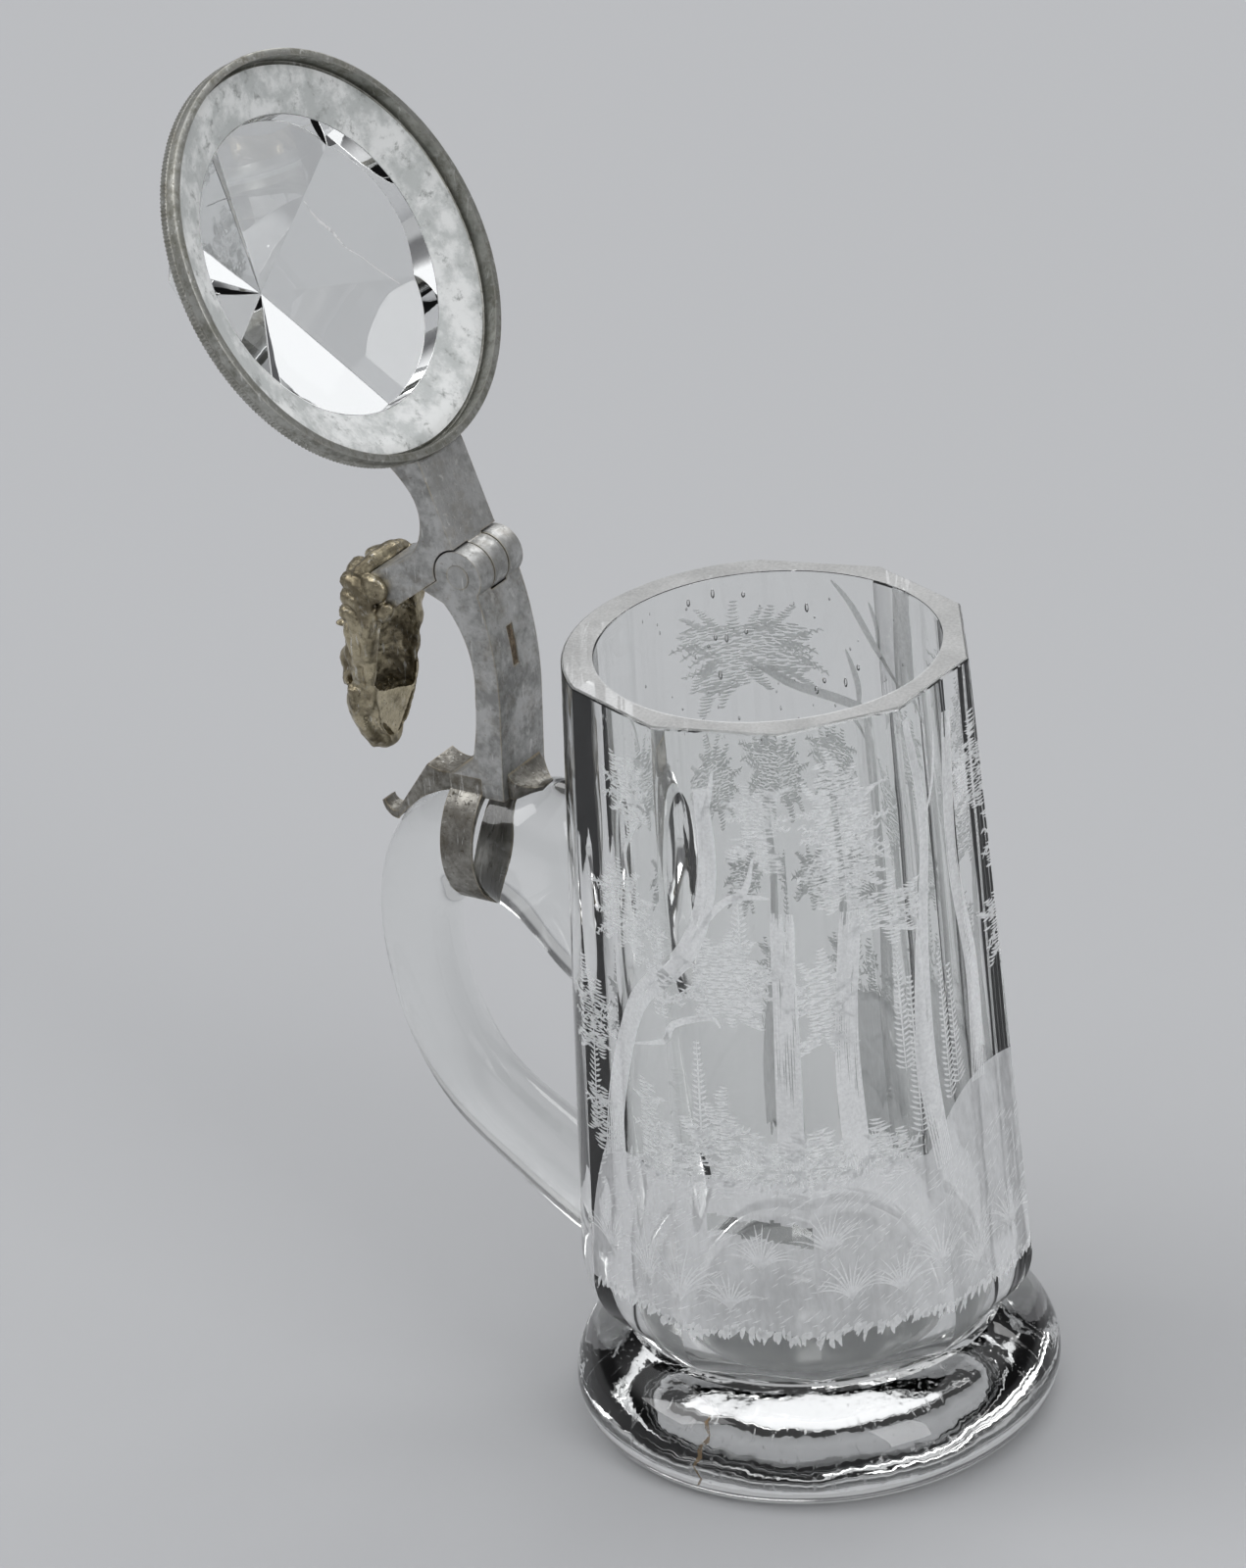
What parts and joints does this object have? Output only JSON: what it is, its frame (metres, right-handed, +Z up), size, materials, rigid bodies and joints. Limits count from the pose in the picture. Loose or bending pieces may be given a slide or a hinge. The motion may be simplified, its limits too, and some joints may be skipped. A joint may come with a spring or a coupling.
{
  "type": "lidded glass tankard",
  "caption": "Clear glass tankard with a panelled barrel, round foot and loop handle, and a pewter lid with faceted glass on a hinge, shown open.",
  "frame": {"origin": "centre of the foot's flat underside", "axes": "+Z up along the barrel, -X towards the handle and the hinge, +Y along the hinge pin"},
  "size_m": [0.1753, 0.097, 0.2679],
  "materials": {
    "tankard_glass": "polished",
    "lid_glass": "polished",
    "lid_pewter": "satin",
    "hinge_pewter": "satin",
    "collar_pewter": "satin",
    "pin_pewter": "satin",
    "mask_pewter": "satin",
    "rusty_steel": "matte",
    "white_plaster": "matte"
  },
  "bodies": {
    "tankard": {"glass_body": "tankard_glass", "glass_handle": "tankard_glass", "handle_collar": "collar_pewter", "hinge_post": "hinge_pewter", "post_insert": "rusty_steel", "hinge_pin": "pin_pewter", "leaf_scroll": "collar_pewter", "front_tang": "collar_pewter"},
    "lid": {"lid_ring": "lid_pewter", "plaster_bedding": "white_plaster", "lid_glass": "lid_glass", "lid_arm": "hinge_pewter", "thumb_lift": "mask_pewter"}
  },
  "joints": [
    {"name": "lid_hinge", "type": "hinge", "parent": "tankard", "child": "lid", "pos_m": [-0.0661, 0, 0.17], "axis": [0, 1, 0], "range_deg": [0, 120]}
  ]
}
